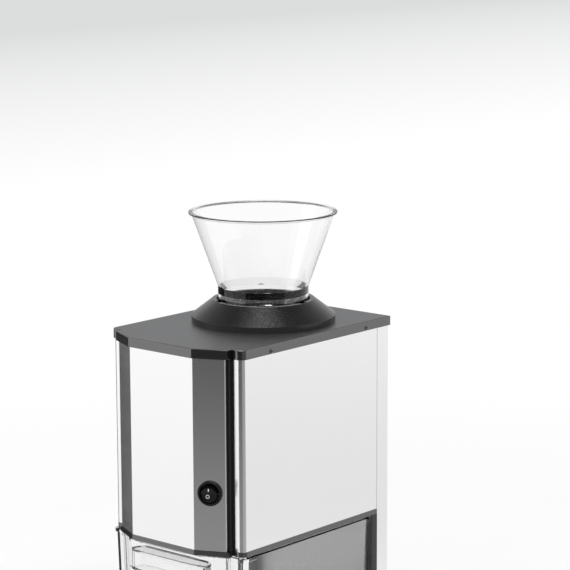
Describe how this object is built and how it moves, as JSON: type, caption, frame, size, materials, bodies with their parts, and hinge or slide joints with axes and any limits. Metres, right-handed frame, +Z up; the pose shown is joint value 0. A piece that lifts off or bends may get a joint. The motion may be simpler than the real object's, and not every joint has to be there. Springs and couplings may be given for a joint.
{
  "type": "ice crusher",
  "caption": "countertop electric ice crusher with a clear lift-off hopper, a bowed brushed steel case with a round rocker switch, and a clear ice bin that slides out below",
  "frame": {"origin": "middle of the bounding box's bottom, on the table", "axes": "Z up, front faces -Y, X to the right seen from the front"},
  "size_m": [0.1642, 0.2382, 0.467],
  "materials": {
    "brushed_steel": "bright, fine brushed",
    "black_moulding": "satin",
    "rubber": "matte",
    "clear_plastic": "clear, polished",
    "fastener_steel": "plated",
    "blade_steel": "ground",
    "cast_alloy": "cast",
    "brass": "machined",
    "gear_nylon": "moulded",
    "motor_shell": "zinc plated",
    "motor_iron": "dark laminated",
    "board": "board resin"
  },
  "bodies": {
    "frame": {"base_tray": "black_moulding", "base_cover": "black_moulding", "rubber_feet": "rubber", "foot_screws": "fastener_steel", "rear_shell": "brushed_steel", "front_panel": "brushed_steel", "left_side_panel": "brushed_steel", "right_side_panel": "brushed_steel", "left_groove_post": "black_moulding", "right_groove_post": "black_moulding", "bay_back_panel": "brushed_steel", "bay_posts": "black_moulding", "deck": "black_moulding", "top_cover": "black_moulding", "cover_screws": "fastener_steel", "back_screws": "fastener_steel", "hopper_collar": "black_moulding", "collar_screws": "fastener_steel", "hopper_gasket": "rubber", "switch_housing": "black_moulding", "switch_terminals": "brass", "crusher_housing": "cast_alloy", "housing_bolts": "fastener_steel", "discharge_chute": "black_moulding", "fixed_comb": "blade_steel", "comb_bolts": "fastener_steel", "front_bushing": "brass", "rear_bushing": "brass", "shaft_seal": "rubber", "gearbox_housing": "cast_alloy", "gearbox_cover": "cast_alloy", "gearbox_screws": "fastener_steel", "motor_can": "motor_shell", "end_bell": "black_moulding", "motor_magnets": "motor_iron", "motor_screws": "fastener_steel", "board_standoffs": "black_moulding", "power_board": "board", "board_screws": "fastener_steel", "board_components": "board", "terminal_block": "black_moulding", "cord_gland": "black_moulding", "gland_nut": "black_moulding"},
    "hopper_body": {"hopper": "clear_plastic"},
    "bin_body": {"ice_bin": "clear_plastic"},
    "rocker_body": {"rocker_button": "black_moulding"},
    "rotor": {"crusher_shaft": "blade_steel", "crusher_blades": "blade_steel", "blade_spacers": "blade_steel", "shaft_nut": "blade_steel", "shaft_gear": "blade_steel"},
    "idler": {"idler_shaft": "blade_steel", "idler_gear": "gear_nylon", "idler_pinion": "blade_steel"},
    "motor_rotor": {"motor_shaft": "blade_steel", "motor_armature": "motor_iron", "cooling_fan": "black_moulding", "motor_pinion": "blade_steel"}
  },
  "joints": [
    {"name": "hopper_lift", "type": "slide", "parent": "frame", "child": "hopper_body", "axis": [0, 0, 1], "range_m": [0, 0.06]},
    {"name": "bin_slide", "type": "slide", "parent": "frame", "child": "bin_body", "axis": [0, -1, 0], "range_m": [0, 0.19]},
    {"name": "power_rocker", "type": "hinge", "parent": "frame", "child": "rocker_body", "pos_m": [0.05229, -0.11093, 0.2327], "axis": [-0.9004, -0.4351, 0], "range_deg": [0, 24]},
    {"name": "rotor_spin", "type": "hinge", "parent": "frame", "child": "rotor", "pos_m": [0, 0.02215, 0.272], "axis": [0, 1, 0], "continuous": true},
    {"name": "idler_spin", "type": "hinge", "parent": "frame", "child": "idler", "pos_m": [-0.03, -0.03985, 0.2268], "axis": [0, 1, 0], "continuous": true},
    {"name": "motor_spin", "type": "hinge", "parent": "frame", "child": "motor_rotor", "pos_m": [0, -0.03985, 0.2268], "axis": [0, 1, 0], "continuous": true}
  ],
  "couplings": [
    {"joint": "idler_spin", "follows": "rotor_spin", "ratio": -3.4286},
    {"joint": "motor_spin", "follows": "rotor_spin", "ratio": 13.714}
  ]
}
